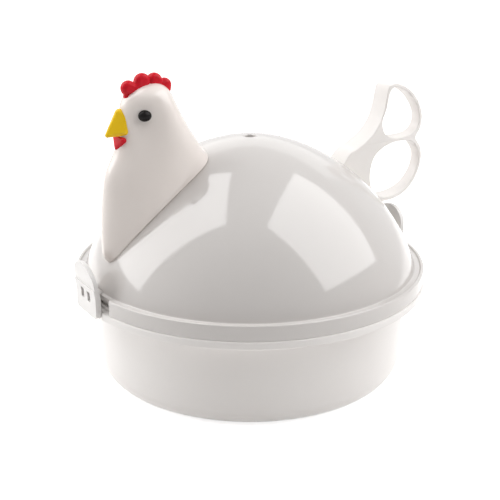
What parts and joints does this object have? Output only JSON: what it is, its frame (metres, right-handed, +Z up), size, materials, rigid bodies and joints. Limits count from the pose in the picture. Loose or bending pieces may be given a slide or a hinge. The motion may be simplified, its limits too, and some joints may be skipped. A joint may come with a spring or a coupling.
{
  "type": "microwave egg cooker",
  "caption": "Hen-shaped steam egg cooker: plastic bowl with rim clips, aluminium egg tray, and a lined dome lid with a hen's head and a looped tail handle",
  "frame": {"origin": "centre of the underside of the base bowl, at the level of the table", "axes": "+Z up; the hen's head looks along -X and its tail points along +X; +Y is to the hen's right; the hen's middle plane is the XZ plane"},
  "size_m": [0.1814, 0.161, 0.1415],
  "materials": {
    "bowl_plastic": "satin white polypropylene",
    "dome_plastic": "polished white polypropylene",
    "head_plastic": "soft satin white polypropylene",
    "clip_plastic": "satin white polypropylene",
    "red_plastic": "semi-gloss red plastic",
    "yellow_plastic": "semi-gloss yellow plastic",
    "black_plastic": "polished black plastic",
    "aluminium_sheet": "pressed satin aluminium",
    "screw_steel": "stainless steel"
  },
  "bodies": {
    "base": {"base_bowl": "bowl_plastic", "egg_tray": "aluminium_sheet", "front_hinge_pin": "clip_plastic", "rear_hinge_pin": "clip_plastic"},
    "front_catch": {"front_clip": "clip_plastic"},
    "rear_catch": {"rear_clip": "clip_plastic"},
    "lid": {"lid_dome": "dome_plastic", "dome_liner": "aluminium_sheet", "liner_retainer": "screw_steel", "hen_head": "head_plastic", "comb": "red_plastic", "beak": "yellow_plastic", "wattle": "red_plastic", "left_eye": "black_plastic", "right_eye": "black_plastic", "tail_handle": "head_plastic", "head_screw_front": "screw_steel", "head_screw_rear": "screw_steel", "tail_screw_upper": "screw_steel", "tail_screw_lower": "screw_steel"}
  },
  "joints": [
    {"name": "front_clip_hinge", "type": "hinge", "parent": "base", "child": "front_catch", "pos_m": [-0.0773, 0, 0.04225], "axis": [0, -1, 0], "range_deg": [0, 100]},
    {"name": "rear_clip_hinge", "type": "hinge", "parent": "base", "child": "rear_catch", "pos_m": [0.0773, 0, 0.04225], "axis": [0, 1, 0], "range_deg": [0, 100]},
    {"name": "lid_lift", "type": "slide", "parent": "base", "child": "lid", "axis": [0, 0, 1], "range_m": [0, 0.15]}
  ]
}
